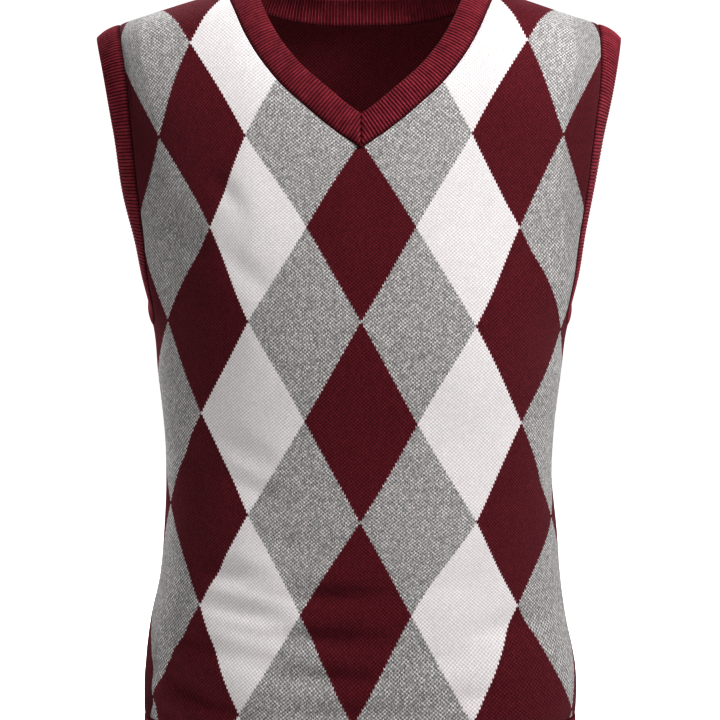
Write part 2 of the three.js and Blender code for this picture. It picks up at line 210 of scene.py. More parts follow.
# The slow unevenness of worn cloth, as a few crossing waves of little depth.
WAVES = table(
    "depth across down turn",
    (0.42, 27, 46, 1.3),
    (0.34, -34, 29, 0.4),
    (0.22, 15, -21, 2.2),
    (0.16, -11, -16, 4.1),
)
CREASE_FADE = math.radians(16)


def crease_depth(side, angle, place):
    """How deep the creases of a panel are, fading to nothing at the side seams."""
    total = 0
    for depth, wide, tall, turn in zip(*WAVES.values()):
        total = total + depth * np.sin(place[..., 0] / wide + place[..., 2] / tall + turn)
    for x, height, reach, spread, depth, slope in zip(*CREASES[side].values()):
        scale = math.hypot(1, slope)
        dx = place[..., 0] - x
        dz = place[..., 2] - height
        along = (dx + dz * slope) / scale / reach
        across = (dz - dx * slope) / scale / spread
        length = np.cos(np.minimum(np.abs(along), 1) * QUARTER_TURN) ** 2
        total = total + depth * np.exp(-(across**2)) * length
    return total * np.minimum((QUARTER_TURN - np.abs(angle)) / CREASE_FADE, 1)


# Neckline seam from the centre out to the neck point: half width, and height on each panel.
NECKLINE = table(
    "count half front back",
    (0, 0, -137, -22),
    (1, 24, -120.5, -21.7),
    (2, 46, -102, -20.4),
    (3, 66, -83.5, -17.6),
    (4, 84, -61, -13),
    (5, 97, -39, -8.4),
    (6, 106, -18.5, -4.2),
    (7, 111.8, -5.5, -1.2),
    (8, NECK_POINT, 0, 0),
)
NECK_COUNT = 8
EDGE_COUNT = 12
ARMHOLE_ANGLE = math.radians(38)
ARMHOLE_FOOT = 0.3
FOOT_CROWDING = 1.3
PANEL_COLUMNS = 180
BODY_ROWS = 120
CHEST_ROWS = 100
ROUND_STEPS = np.array((0, 0.15, 0.5, 1.1))
MILLIMETRE_UP = 1
MILLIMETRE_IN_COUNTS = 0.05
PANEL_WALL = 2.0
EDGE_DIP = 0.7
EDGE_DIP_WIDTH = 2.6
MERGE_DISTANCE = 0.002


def spread(start, end, steps, millimetre):
    """Even steps from start to end, with close ones that round each edge."""
    edge = ROUND_STEPS * millimetre
    return np.concatenate((start + edge, np.linspace(start, end, steps + 1)[1:-1], end - edge[::-1]))


def armhole_angle(height):
    """The angle of the panel's outer edge: the side seam, and above it the armhole."""
    climb = np.clip(1 - height / UNDERARM_HEIGHT, 0, 1)
    return QUARTER_TURN - ARMHOLE_ANGLE * climb**ARMHOLE_FOOT


def edge_distance(places, lines):
    """How far each place is from the nearest edge of its grid, measured along the cloth."""
    nearest = np.full(places.shape[:2], np.inf)
    for axis in lines:
        steps = np.linalg.norm(np.diff(places, axis=axis), axis=-1)
        pad = [(0, 0), (0, 0)]
        pad[axis] = (1, 0)
        run = np.pad(np.cumsum(steps, axis=axis), pad)
        whole = np.take(run, [-1], axis=axis)
        nearest = np.minimum(nearest, np.minimum(run, whole - run))
    return nearest


def rounded(distance, half_wall):
    """Half the wall's thickness at a distance from a rounded edge."""
    short = 1 - np.minimum(distance / half_wall, 1)
    return half_wall * np.sqrt(1 - short**2)


# The whole panel: columns run up from the hem seam to the neckline or the shoulder seam.
def panel_layer(side):
    """A panel's middle layer, creased: its places, outward directions, angles and heights."""
    count = spread(-EDGE_COUNT, EDGE_COUNT, PANEL_COLUMNS, MILLIMETRE_IN_COUNTS)[None, :]
    far = np.abs(count)
    sign = np.sign(count)
    low = spread(HEM_SEAM_HEIGHT, UNDERARM_HEIGHT, BODY_ROWS, MILLIMETRE_UP)[: -len(ROUND_STEPS)]
    climb = ((1 - np.cos(np.linspace(0, math.pi, CHEST_ROWS + 1))) / 2) ** FOOT_CROWDING
    climb = np.concatenate((0 * low, climb))[:, None]
    base = np.concatenate((low, np.full(CHEST_ROWS + 1, UNDERARM_HEIGHT)))[:, None]
    top = read(NECKLINE, "count", side, far)
    height = mix(base, top, climb)
    outer = armhole_angle(height)
    half = sign * read(NECKLINE, "count", "half", far)
    beyond = np.clip((far - NECK_COUNT) / (EDGE_COUNT - NECK_COUNT), 0, 1)
    above = sign * mix(np.abs(angle_at(half, height)), outer, beyond)
    angle = mix(sign * outer * far / EDGE_COUNT, above, climb)
    outward = body_outward(side, angle, height)
    places = body_place(side, angle, height)
    places = places - outward * crease_depth(side, angle, places)[..., None]
    return {"places": places, "outward": outward, "angle": angle, "height": height,
            "count": count[0], "underarm": len(low)}


# Stitches: a wale every 1.7 mm, and 27 wales and 54 courses to half a diamond. On a body the
# knit stretches unevenly, so two tables say where the front's diamonds lie: the height of each
# row of corners, and how far columns 5, 4 and 2 on each side are from the centre line.
STITCH_WIDTH = 1.704
DIAMOND_WALES = 27
DIAMOND_COURSES = 54
ROW_HEIGHT = 81
TOP_ROW_HEIGHT = -133
PATTERN_ROWS = table(
    "row left near_left middle near_right right",
    (7, -682, -690, -697, -695, -694),
    (6, -601, -608, -615, -614, -613),
    (5, -515.5, -520.5, -525.5, -520.5, -515.5),
    (4, -435.5, -441, -446, -447, -447.5),
    (3, -354.5, -359.5, -364.5, -365, -365.5),
    (2, -280, -280, -280, -284, -288),
    (1, -202.5, -202.5, -202.5, -202.5, -202.5),
    (0, -127, -127.5, -133, -126, -124.5),
)
ROW_KNOTS = ("left", "near_left", "middle", "near_right", "right")
ROW_KNOTS_A_SIDE = 2
PATTERN_COLUMNS = table(
    "row past_left far_left left middle right far_right past_right",
    (-2, -212, -186, -98, 0, 97, 182, 212),
    (-1, -206, -186, -100, 0, 96, 182, 206),
    (0, -200, -170.5, -95.5, 0, 91.5, 170.5, 198),
    (1, -203, -162, -89.5, 0, 90, 176, 205),
    (2, -221, -175, -93.5, 0, 95.5, 190, 236),
    (3, -229, -183, -93, 0, 93, 186, 232),
    (4, -227, -181, -95, -0.8, 97, 182, 228),
    (5, -222, -183, -95.5, -5.5, 88.5, 182, 228),
    (6, -211, -196, -103, -7, 93, 202, 248),
    (7, -222, -199, -104, -7, 94, 204, 250),
)
COLUMN_KNOTS = {
    "past_left": -5, "far_left": -4, "left": -2, "middle": 0,
    "right": 2, "far_right": 4, "past_right": 5,
}
OUTER_COLUMN = 4
SHOULDER_HEIGHT = -20
ARC_STEPS = 24


def path_length(side, angles, heights):
    """The length of the cloth between two places, and its level share, in short steps."""
    whole, level = 0, 0
    before = body_place(side, angles[0], heights[0])
    for step in range(1, ARC_STEPS + 1):
        share = step / ARC_STEPS
        here = body_place(side, mix(*angles, share), mix(*heights, share))
        whole = whole + np.linalg.norm(here - before, axis=-1)
        level = level + np.hypot(here[..., 0] - before[..., 0], here[..., 1] - before[..., 1])
        before = here
    return whole, level


def pattern_row(heights, share):
    """The pattern's row at each height: share runs from -1 at the outer column left to 1 right."""
    place = (np.clip(share, -1, 1) + 1) * ROW_KNOTS_A_SIDE
    row = 0
    for i, name in enumerate(ROW_KNOTS):
        here = read(PATTERN_ROWS, name, "row", np.minimum(heights, TOP_ROW_HEIGHT))
        row = row + here * np.maximum(1 - np.abs(place - i), 0)
    return row


def pattern_column(around, row):
    """The pattern's column at a distance round from the centre line, knot by knot."""
    knots = [read(PATTERN_COLUMNS, "row", name, row) for name in COLUMN_KNOTS]
    numbers = list(COLUMN_KNOTS.values())
    column = numbers[0]
    for i, step in enumerate(np.diff(numbers)):
        lowest = -np.inf if i == 0 else 0
        highest = np.inf if i == len(numbers) - 2 else 1
        share = (around - knots[i]) / (knots[i + 1] - knots[i])
        column = column + step * np.clip(share, lowest, highest)
    return column


def stitch_map(side, layer):
    """Wales from the centre line and courses up from the pattern's top row, at each place."""
    angle, height = layer["angle"], layer["height"]
    _, around = path_length(side, (0 * angle, angle), (height, height))
    around = np.sign(angle) * around
    start = TOP_ROW_HEIGHT + shoulder_drop(layer["places"][..., 0], TOP_ROW_HEIGHT)
    shoulder = np.full_like(height, SHOULDER_HEIGHT)
    above = np.clip(height, start, SHOULDER_HEIGHT) - start
    over, _ = path_length(side, (angle, angle), (shoulder, np.maximum(height, shoulder)))
    share = around / (OUTER_COLUMN * DIAMOND_WALES * STITCH_WIDTH)
    row = pattern_row(layer["places"][..., 2], share) - (above + over) / ROW_HEIGHT
    wales = around / STITCH_WIDTH
    if side == "front":
        wales = pattern_column(around, row) * DIAMOND_WALES
    return np.stack((wales, -row * DIAMOND_COURSES), axis=-1)


def make_wall(name, outer, inner, stitches):
    """A closed wall of cloth: one grid runs up the outside and down the inside, and its edges merge."""
    places = np.concatenate((outer, inner[-2::-1]))
    stitches = np.concatenate((stitches, stitches[-2::-1]))
    rows, columns = places.shape[0] - 1, places.shape[1] - 1
    cloth = bmesh.new()
    bmesh.ops.create_grid(cloth, x_segments=columns, y_segments=rows, size=0.5)
    cloth.verts.index_update()
    at = [(round((v.co.y + 0.5) * rows), round((v.co.x + 0.5) * columns)) for v in cloth.verts]
    for vert, here in zip(cloth.verts, at):
        vert.co = places[here] * MM
    uv = cloth.loops.layers.uv.new("stitches")
    for face in cloth.faces:
        face.smooth = True
        for loop in face.loops:
            loop[uv].uv = stitches[at[loop.vert.index]]
    bmesh.ops.remove_doubles(cloth, verts=cloth.verts, dist=MERGE_DISTANCE * MM)
    mesh = bpy.data.meshes.new(name)
    cloth.to_mesh(mesh)
    cloth.free()
    piece = bpy.data.objects.new(name, mesh)
    bpy.context.scene.collection.objects.link(piece)
    return piece


def make_panel(side, name):
    """A panel of knitted cloth, with the rounded edges turned in a little at its seams."""
    layer = panel_layer(side)
    places, outward = layer["places"], layer["outward"]
    distance = edge_distance(places, (0, 1))
    dip = EDGE_DIP * np.exp(-((distance / EDGE_DIP_WIDTH) ** 2))
    middle = places - outward * dip[..., None]
    wall = outward * rounded(distance, PANEL_WALL / 2)[..., None]
    outer, inner, stitches = middle + wall, middle - wall, stitch_map(side, layer)
    if side == "back":
        outer, inner, stitches = (grid[:, ::-1] for grid in (outer, inner, stitches))
    return layer, make_wall(name, outer, inner, stitches)


front_layer, front = make_panel("front", "knitted_front")


# How the shader nodes below are joined: a maths node, a blend or shade of colours, and noise.
def place_value(tree, socket, value):
    """Gives a socket a plain value, or links it to another node's socket."""
    if isinstance(value, bpy.types.NodeSocket):
        tree.links.new(value, socket)
    else:
        socket.default_value = value


def calc(tree, operation, *values, clamp=False):
    """One maths node on values or sockets."""
    node = tree.nodes.new("ShaderNodeMath")
    node.operation = operation
    node.use_clamp = clamp
    for socket, value in zip(node.inputs, values):
        place_value(tree, socket, value)
    return node.outputs[0]


def blend_colours(tree, share, first, second, how="MIX"):
    """One blend of two colours or sockets."""
    node = tree.nodes.new("ShaderNodeMix")
    node.data_type = "RGBA"
    node.blend_type = how
    for name, value in (("Factor_Float", share), ("A_Color", first), ("B_Color", second)):
        socket = next(s for s in node.inputs if s.identifier == name)
        place_value(tree, socket, value)
    return next(s for s in node.outputs if s.identifier == "Result_Color")


def shade_colour(tree, colour, shade):
    """A colour made darker or lighter by a number."""
    grey = tree.nodes.new("ShaderNodeCombineColor")
    for channel in ("Red", "Green", "Blue"):
        place_value(tree, grey.inputs[channel], shade)
    return blend_colours(tree, 1.0, colour, grey.outputs[0], "MULTIPLY")


def place_noise(tree, place, scale, detail):
    """Soft noise on a place, with its own scale in each direction."""
    stretch = tree.nodes.new("ShaderNodeMapping")
    stretch.inputs["Scale"].default_value = scale
    tree.links.new(place, stretch.inputs["Vector"])
    noise = tree.nodes.new("ShaderNodeTexNoise")
    noise.inputs["Scale"].default_value = 1
    noise.inputs["Detail"].default_value = detail
    tree.links.new(stretch.outputs[0], noise.inputs["Vector"])
    return noise.outputs["Fac"]


def make_group(name, inputs, outputs):
    """An empty node group, with its named sockets, their kinds and their starting values."""
    group = bpy.data.node_groups.new(name, "ShaderNodeTree")
    for label, kind in outputs:
        group.interface.new_socket(label, in_out="OUTPUT", socket_type="NodeSocket" + kind)
    for label, kind, value in inputs:
        socket = group.interface.new_socket(label, in_out="INPUT", socket_type="NodeSocket" + kind)
        if value is not None:
            socket.default_value = value
    return group, group.nodes.new("NodeGroupInput").outputs, group.nodes.new("NodeGroupOutput").inputs


def place_group(tree, group, **values):
    """A node group placed in a material, with values for its named inputs."""
    node = tree.nodes.new("ShaderNodeGroup")
    node.node_tree = group
    for name, value in values.items():
        place_value(tree, node.inputs[name.replace("_", " ").capitalize()], value)
    return node.outputs


# One stocking stitch is a V: two legs that climb outwards from the middle of its wale. The strands
# carried behind the face press every other stitch forward, in a fine check, which is shown only as
# painted shade on the sunk stitches.
LEG_SLANT = 0.8
LEG_EDGE = 0.02
LEG_ROUNDNESS = 0.6
STRAND_RELIEF = 0.5


def arch(tree, share):
    """A round arch over a share that runs from 0 to 1, as high as 1 in its middle."""
    falling = calc(tree, "SUBTRACT", 1, share)
    return calc(tree, "MULTIPLY", calc(tree, "MULTIPLY", share, falling), 4)


def make_stitch_group():
    tree, given, out = make_group(
        "stocking_stitch",
        (("Stitches", "Vector", None), ("Slant", "Float", LEG_SLANT)),
        (("Height", "Float"), ("Cell", "Vector"), ("Leg", "Vector"), ("Check", "Float")),
    )
    split = tree.nodes.new("ShaderNodeSeparateXYZ")
    tree.links.new(given["Stitches"], split.inputs[0])
    wale, course = split.outputs["X"], split.outputs["Y"]
    from_middle = calc(tree, "ABSOLUTE", calc(tree, "SUBTRACT", calc(tree, "FRACT", wale), 0.5))
    out_share = calc(tree, "MULTIPLY", from_middle, 2)
    leg = arch(tree, out_share)
    climbed = calc(tree, "SUBTRACT", course, calc(tree, "MULTIPLY", out_share, given["Slant"]))
    up_share = calc(tree, "FRACT", climbed)
    strand = arch(tree, up_share)
    round_leg = calc(tree, "POWER", calc(tree, "ADD", leg, LEG_EDGE), LEG_ROUNDNESS)
    round_strand = calc(tree, "MULTIPLY_ADD", strand, STRAND_RELIEF, 1 - STRAND_RELIEF)
    height = calc(tree, "MULTIPLY", round_leg, round_strand)
    cell_x = calc(tree, "FLOOR", wale)
    cell_y = calc(tree, "FLOOR", climbed)
    leg_x = calc(tree, "FLOOR", calc(tree, "MULTIPLY", wale, 2))
    for name, across in (("Cell", cell_x), ("Leg", leg_x)):
        place = tree.nodes.new("ShaderNodeCombineXYZ")
        place_value(tree, place.inputs["X"], across)
        place_value(tree, place.inputs["Y"], cell_y)
        tree.links.new(place.outputs[0], out[name])
    halves = calc(tree, "MULTIPLY", calc(tree, "ADD", cell_x, cell_y), 0.5)
    tree.links.new(height, out["Height"])
    tree.links.new(calc(tree, "MULTIPLY", calc(tree, "FRACT", halves), 2), out["Check"])
    return tree


# The argyle chart, counted in whole stitches. Diamonds stand in columns, and each column keeps
# one colour: burgundy in the middle, then grey, off-white, burgundy, grey and burgundy again.
GREY_COLUMNS = (1, 4)
WHITE_COLUMN = 2
NEARLY = 0.5


def make_argyle_group():
    tree, given, out = make_group(
        "argyle_chart",
        (("Cell", "Vector", None),),
        (("Grey", "Float"), ("White", "Float")),
    )
    split = tree.nodes.new("ShaderNodeSeparateXYZ")
    tree.links.new(given["Cell"], split.inputs[0])
    across = calc(tree, "DIVIDE", calc(tree, "ADD", split.outputs["X"], 0.5), DIAMOND_WALES)
    down = calc(tree, "DIVIDE", calc(tree, "ADD", split.outputs["Y"], 0.5), -DIAMOND_COURSES)
    falling = calc(tree, "FLOOR", calc(tree, "DIVIDE", calc(tree, "ADD", across, down), 2))
    rising = calc(tree, "FLOOR", calc(tree, "DIVIDE", calc(tree, "SUBTRACT", across, down), 2))
    column = calc(tree, "ABSOLUTE", calc(tree, "ADD", calc(tree, "ADD", falling, rising), 1))
    first_grey, second_grey = (
        calc(tree, "COMPARE", column, number, NEARLY) for number in GREY_COLUMNS
    )
    tree.links.new(calc(tree, "ADD", first_grey, second_grey), out["Grey"])
    tree.links.new(calc(tree, "COMPARE", column, WHITE_COLUMN, NEARLY), out["White"])
    return tree


# Dyed wool with painted shade: the yarn's colour varies from one leg of a stitch to the next and along
# each strand. Painted shade darkens it in the gaps between the stitches, and on every other stitch of
# the check, where the stitch lies sunk.
LEG_CONTRAST = 1.3
STRAND_CONTRAST = 3.2
STRAND_SCALE = (2.6, 2.2, 1)
STRAND_DETAIL = 2
DARKEST_SHADE = 0.02


def make_yarn_and_shade_group():
    tree, given, out = make_group(
        "yarn_colour_and_painted_shade",
        (
            ("Stitches", "Vector", None), ("Leg", "Vector", None), ("Height", "Float", 0.5),
            ("Check", "Float", 0.5), ("Colour", "Color", (0.5, 0.5, 0.5, 1)),
            ("Fleck", "Float", 0.1), ("Gap", "Float", 0.4), ("Sunk", "Float", 0.2),
        ),
        (("Colour", "Color"),),
    )
    speck = tree.nodes.new("ShaderNodeTexWhiteNoise")
    speck.noise_dimensions = "2D"
    tree.links.new(given["Leg"], speck.inputs["Vector"])
    each_leg = calc(tree, "MULTIPLY_ADD", speck.outputs["Value"], LEG_CONTRAST, -LEG_CONTRAST / 2)
    strand = place_noise(tree, given["Stitches"], STRAND_SCALE, STRAND_DETAIL)
    along = calc(tree, "MULTIPLY_ADD", strand, STRAND_CONTRAST, -STRAND_CONTRAST / 2)
    lighter = calc(tree, "MULTIPLY_ADD", calc(tree, "ADD", each_leg, along), given["Fleck"], 1)
    # Painted shade in the gaps between the stitches: the lower a place on the stitch, the darker.
    depth = calc(tree, "SUBTRACT", 1, given["Height"])
    gap = calc(tree, "SUBTRACT", 1, calc(tree, "MULTIPLY", depth, given["Gap"]))
    # Painted shade on the sunk stitches of the check, which have no relief of their own.
    sunk = calc(tree, "SUBTRACT", 1, calc(tree, "MULTIPLY", given["Check"], given["Sunk"]))
    shade = calc(tree, "MULTIPLY", calc(tree, "MULTIPLY", lighter, gap), sunk)
    shade = calc(tree, "MAXIMUM", shade, DARKEST_SHADE)
    tree.links.new(shade_colour(tree, given["Colour"], shade), out["Colour"])
    return tree


stitch_group = make_stitch_group()
argyle_group = make_argyle_group()
yarn_and_shade_group = make_yarn_and_shade_group()

# Each yarn: its colour, its random flecks, and how much painted shade it takes in the gaps between
# stitches (gap) and on the sunk stitches of the check (sunk).
BURGUNDY = {"colour": (0.236, 0.047, 0.065, 1), "fleck": 0.28, "gap": 0.5, "sunk": 0.45}
HEATHER_GREY = {"colour": (0.7, 0.681, 0.676, 1), "fleck": 0.52, "gap": 0.5, "sunk": 0.55}
OFF_WHITE = {"colour": (0.99, 0.945, 0.95, 1), "fleck": 0.08, "gap": 0.3, "sunk": 0.24}
RIB_BURGUNDY = {"colour": (0.17, 0.034, 0.047, 1), "fleck": 0.2, "gap": 0.15, "sunk": 0}
STITCH_RELIEF = 0.65
WOOL = {
    "Roughness": 0.9,
    "Specular IOR Level": 0.15,
    "Sheen Weight": 0.05,
    "Sheen Roughness": 0.5,
}


def start_material(name):
    """A matt wool material with the soft glow of its nap, and its stitches."""
    material = bpy.data.materials.new(name)
    material.use_nodes = True
    tree = material.node_tree
    shader = tree.nodes["Principled BSDF"]
    for name, value in WOOL.items():
        shader.inputs[name].default_value = value
    uv = tree.nodes.new("ShaderNodeUVMap")
    uv.uv_map = "stitches"
    return material, tree, shader, uv.outputs[0]


def raise_stitches(tree, shader, height, relief):
    """Raises the stitches out of the cloth, as high as relief in millimetres."""
    bump = tree.nodes.new("ShaderNodeBump")
    bump.inputs["Strength"].default_value = 1
    bump.inputs["Distance"].default_value = relief * MM
    tree.links.new(height, bump.inputs["Height"])
    tree.links.new(bump.outputs[0], shader.inputs["Normal"])


def dye_and_shade(tree, stitches, stitch, yarn):
    """The colour of a yarn on its stitches, with painted shade in the gaps and on the sunk stitches of
    the check.
    """
    return place_group(
        tree, yarn_and_shade_group, stitches=stitches, leg=stitch["Leg"], height=stitch["Height"],
        check=stitch["Check"], **yarn,
    )["Colour"]


def make_argyle_knit():
    """Stocking stitch in three yarns, changed from one to the next by the chart."""
    material, tree, shader, stitches = start_material("argyle_knit")
    stitch = place_group(tree, stitch_group, stitches=stitches)
    chart = place_group(tree, argyle_group, cell=stitch["Cell"])
    burgundy, grey, white = (
        dye_and_shade(tree, stitches, stitch, yarn) for yarn in (BURGUNDY, HEATHER_GREY, OFF_WHITE)
    )
    ground = blend_colours(tree, chart["Grey"], burgundy, grey)
    tree.links.new(blend_colours(tree, chart["White"], ground, white), shader.inputs["Base Color"])
    raise_stitches(tree, shader, stitch["Height"], STITCH_RELIEF)
    return material


front.data.materials.append(make_argyle_knit())
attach(front, "root")
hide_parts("front")

# Back panel. The same stocking stitch in plain burgundy, cut with a shallow back neck, and
# creased across the small of the back.
back_layer, back = make_panel("back", "knitted_back")


def make_plain_knit():
    """Stocking stitch in one yarn."""
    material, tree, shader, stitches = start_material("plain_knit")
    stitch = place_group(tree, stitch_group, stitches=stitches)
    tree.links.new(dye_and_shade(tree, stitches, stitch, BURGUNDY), shader.inputs["Base Color"])
    raise_stitches(tree, shader, stitch["Height"], STITCH_RELIEF)
    return material


back.data.materials.append(make_plain_knit())
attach(back, "root")
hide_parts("back")

# Neck band. One by one rib, picked up round the neckline and mitred at the point of the V, where
# its two ends meet in a seam. It stands up a little out of the cloth at the back of the neck.
NECK_BAND_WIDTH = 24
RIB_PITCH = 2.9
RIB_STEPS = 8
RIB_RELIEF = 0.8
RIB_ROUNDNESS = 0.8
RIB_WALL = 1.5
COURSE_HEIGHT = 1.48
BAND_ROWS = 12
BAND_TUCK = 0.4
BAND_SWELL = 1.7
BAND_SWELL_SHIFT = 1.1
BAND_DIP_REACH = 0.1
NARROWEST_BAND = 1.5
LEAST_CLOSING = 0.05
NECK_STAND_START = -60
NECK_STAND_SHOULDER = 0.35
NECK_STAND_BACK = 1.1
UP = np.array((0, 0, 1.0))


def seam_line(front_edge, back_edge):
    """The places and outward directions of a seam where the two panels' edges meet."""
    return {
        "places": (front_edge["places"] + back_edge["places"]) / 2,
        "outward": unit(front_edge["outward"] + back_edge["outward"]),
    }


def edge_of(layer, rows, columns):
    """The places and outward directions along one edge of a panel."""
    return {key: layer[key][rows, columns].reshape(-1, 3) for key in ("places", "outward")}


def join_edges(*edges):
    """Several edges, one after the other, as one seam."""
    return {key: np.concatenate([edge[key] for edge in edges]) for key in ("places", "outward")}


def stations(line, closed):
    """Places evenly spaced along a seam, eight to a rib, with their directions and rib counts."""
    places, outward = line["places"], line["outward"]
    if closed:
        places, outward = (np.concatenate((grid, grid[:1])) for grid in (places, outward))
        ends = np.concatenate((places[-2:-1], places, places[1:2]))
    else:
        ends = np.concatenate((places[:1], places, places[-1:]))
    tangent = unit(ends[2:] - ends[:-2])
    run = np.concatenate(((0,), np.cumsum(np.linalg.norm(np.diff(places, axis=0), axis=1))))
    ribs = round(run[-1] / RIB_PITCH)
    goal = np.linspace(0, run[-1], ribs * RIB_STEPS + 1)
    spaced = {
        key: np.stack([np.interp(goal, run, grid[:, i]) for i in range(3)], axis=-1)
        for key, grid in (("places", places), ("outward", outward), ("tangent", tangent))
    }
    spaced["outward"] = unit(spaced["outward"])
    spaced["tangent"] = unit(spaced["tangent"])
    spaced["in_panel"] = unit(np.cross(spaced["outward"], spaced["tangent"]))
    spaced["ribs"] = np.linspace(0, ribs, ribs * RIB_STEPS + 1)
    return spaced


def make_band(name, line, across, width, profile, closed=False):
    """A ribbed strip: rounded ridges outside, and the same ridges half a rib further on inside."""
    reach = spread(0, 1, BAND_ROWS, 1 / width.max())[:, None, None]
    edge_outward = unit(np.cross(line["tangent"], across))
    outward = unit(mix(line["outward"][None], edge_outward[None], reach))
    middle = line["places"][None] + across[None] * width[None, :, None] * reach
    middle = middle + outward * profile(reach[..., 0])[..., None]
    distance = edge_distance(middle, (0,) if closed else (0, 1))
    half = rounded(distance, RIB_WALL / 2)
    full = half / (RIB_WALL / 2)
    wave = line["ribs"][None, :]
    ridge, purl = (
        np.abs(np.sin(math.pi * (wave + shift))) ** RIB_ROUNDNESS for shift in (0, 0.5)
    )
    outer = middle + outward * (half + full * RIB_RELIEF * ridge)[..., None]
    inner = middle - outward * (half + full * RIB_RELIEF * purl)[..., None]
    courses = reach[..., 0] * width[None, :] / COURSE_HEIGHT
    stitches = np.stack((wave + 0 * courses, courses), axis=-1)
    return make_wall(name, outer, inner, stitches)


def seam_dip(reach, dip_reach):
    """How deep a rib lies at its seam, fading out within a share of its width."""
    return EDGE_DIP * np.exp(-((reach / dip_reach) ** 2))


def band_profile(reach):
    """How far a band stands out of its seam: it dips at the seam and swells towards its edge."""
    swell = BAND_SWELL * np.sin(math.pi * reach**BAND_SWELL_SHIFT)
    return swell - seam_dip(reach, BAND_DIP_REACH)


neck_point, neck_point_left = (
    int(np.argmin(np.abs(front_layer["count"] - count))) for count in (NECK_COUNT, -NECK_COUNT)
)
centre_column = len(front_layer["count"]) // 2
neck_seam = join_edges(
    edge_of(front_layer, -1, slice(centre_column, neck_point)),
    seam_line(edge_of(front_layer, -1, neck_point), edge_of(back_layer, -1, neck_point)),
    edge_of(back_layer, -1, slice(neck_point - 1, neck_point_left, -1)),
    seam_line(edge_of(front_layer, -1, neck_point_left), edge_of(back_layer, -1, neck_point_left)),
    edge_of(front_layer, -1, slice(neck_point_left + 1, centre_column + 1)),
)
neck_line = stations(neck_seam, False)
neck_line["places"] = neck_line["places"] - neck_line["in_panel"] * BAND_TUCK


def neck_stand(places):
    """How steeply the band stands up: a little at the shoulders, and most at the back."""
    rise = np.clip((places[:, 2] - NECK_STAND_START) / -NECK_STAND_START, 0, 1)
    before = NECK_STAND_SHOULDER * rise * rise * (3 - 2 * rise)
    behind = mix(NECK_STAND_SHOULDER, NECK_STAND_BACK, 1 - np.abs(places[:, 0]) / NECK_POINT)
    return np.where(places[:, 1] < 0, before, behind)


neck_across = unit(neck_line["in_panel"] + UP * neck_stand(neck_line["places"])[:, None])
outside = np.where(neck_line["ribs"] < neck_line["ribs"][-1] / 2, 1, -1)
closing = -outside * neck_across[:, 0]
from_centre = outside * neck_line["places"][:, 0]
to_mitre = np.where(
    closing > LEAST_CLOSING, from_centre / np.maximum(closing, LEAST_CLOSING), NECK_BAND_WIDTH
)
neck_width = np.where(
    neck_line["places"][:, 1] < 0,
    np.clip(to_mitre, NARROWEST_BAND, NECK_BAND_WIDTH),
    NECK_BAND_WIDTH,
)
neck_band = make_band("neck_band_rib", neck_line, neck_across, neck_width, band_profile)

# Ribbed knit: a column of stitches on the back of each ridge, with painted shade between the ridges and
# along the seam, and a little uneven from place to place.
SEAM_COURSES = 2.4
SEAM_SHADE = 0.35
GROOVE_SHADE = 0.22
RIDGE_LIGHT = 1.15
RIDGE_BREADTH = 0.7
PATCH_SCALE = (0.4, 0.12, 1)
PATCH_CONTRAST = 0.8
PATCH_SHADE = 0.6
PATCH_DETAIL = 2
RIB_STITCH_RELIEF = 0.15


def make_rib_knit():
    material, tree, shader, stitches = start_material("rib_knit")
    stitch = place_group(tree, stitch_group, stitches=stitches)
    colour = dye_and_shade(tree, stitches, stitch, RIB_BURGUNDY)
    split = tree.nodes.new("ShaderNodeSeparateXYZ")
    tree.links.new(stitches, split.inputs[0])
    turn = calc(tree, "MULTIPLY", split.outputs["X"], math.pi)
    ridge = calc(tree, "POWER", calc(tree, "ABSOLUTE", calc(tree, "SINE", turn)), RIDGE_BREADTH)
    uneven = place_noise(tree, stitches, PATCH_SCALE, PATCH_DETAIL)
    patchy = calc(tree, "MULTIPLY_ADD", uneven, PATCH_CONTRAST, PATCH_SHADE)
    # Painted shade and light: the grooves between the ridges darker and the ridges lighter.
    ribbed = calc(tree, "MULTIPLY_ADD", ridge, RIDGE_LIGHT, GROOVE_SHADE)
    ribbed = calc(tree, "MULTIPLY", ribbed, patchy)
    # Painted shade along the seam, fading out over its first courses.
    courses = calc(tree, "ABSOLUTE", split.outputs["Y"])
    from_seam = calc(tree, "DIVIDE", courses, SEAM_COURSES, clamp=True)
    near_seam = calc(tree, "MULTIPLY_ADD", from_seam, 1 - SEAM_SHADE, SEAM_SHADE)
    shade = calc(tree, "MULTIPLY", ribbed, near_seam)
    tree.links.new(shade_colour(tree, colour, shade), shader.inputs["Base Color"])
    raise_stitches(tree, shader, stitch["Height"], RIB_STITCH_RELIEF)
    return material


rib_knit = make_rib_knit()


def finish_band(piece, node):
    """Gives a ribbed strip its knit, hangs it on the root body and hides the part it stands for."""
    piece.data.materials.append(rib_knit)
    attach(piece, "root")
    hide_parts(node)


finish_band(neck_band, "neck_band")

# Armhole bands. The same rib, each a closed ring picked up round one armhole. The left one of
# the picture leans further out than the right one.
ARMHOLE_BAND_WIDTH = 23
ARMHOLE_CENTRE = np.array((0, 0, -160.0))
ARMHOLE_LEAN = table(
    "height left right",
    (-290, 0.15, 0.1),
    (-229, 0.33, 0.2),
    (-178, 0.6, 0.28),
    (-127, 0.7, 0.4),
    (-75, 0.83, 0.55),
    (-29, 0.86, 0.84),
)


